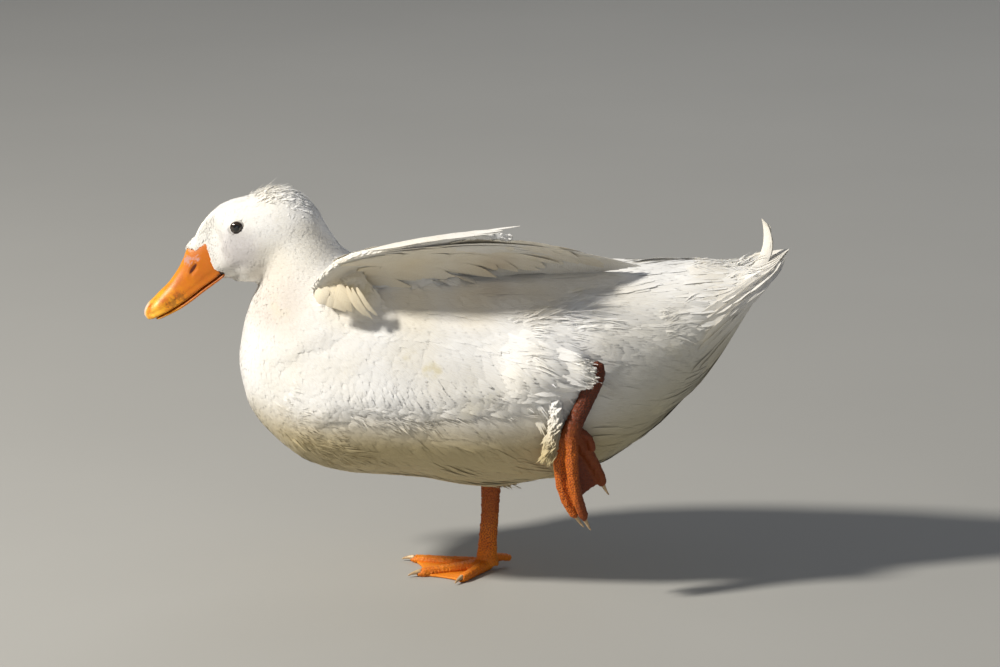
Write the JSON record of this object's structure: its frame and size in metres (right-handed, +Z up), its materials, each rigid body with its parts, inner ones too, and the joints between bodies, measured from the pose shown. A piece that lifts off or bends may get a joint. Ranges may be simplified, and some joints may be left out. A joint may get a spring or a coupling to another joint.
{
  "type": "duck",
  "caption": "Life-size white domestic duck, a drake, standing still on one foot with the other leg raised and the near wing lifted",
  "frame": {"origin": "on the floor, at the middle of the sole under the toe joint of the standing right foot", "axes": "-X is the way the bill points, -Y the duck's left, +Z up"},
  "size_m": [0.5358, 0.198, 0.3348],
  "materials": {
    "plumage": "soft white body feathers",
    "flight_feathers": "smooth white vanes with pale shafts",
    "bill": "satin yellow-orange horn with a pinkish nail",
    "eye": "wet dark brown",
    "leg_skin": "scaly orange skin, slightly moist",
    "claw": "pale horn"
  },
  "bodies": {
    "root": {"head": "plumage", "neck": "plumage", "trunk": "plumage", "thigh_left": "plumage", "wing_left_arm": "plumage", "wing_left_hand": "plumage", "wing_left_coverts": "flight_feathers", "wing_left_primaries": "flight_feathers", "wing_left_secondaries": "flight_feathers", "wing_right": "flight_feathers", "tail": "flight_feathers", "tail_curl": "flight_feathers", "bill_upper": "bill", "bill_lower": "bill", "eye_left": "eye", "eye_right": "eye", "shank_left": "leg_skin", "foot_left": "leg_skin", "shank_right": "leg_skin", "foot_right": "leg_skin", "claw_left_outer": "claw", "claw_left_middle": "claw", "claw_left_inner": "claw", "claw_right_outer": "claw", "claw_right_middle": "claw", "claw_right_inner": "claw"}
  },
  "joints": []
}
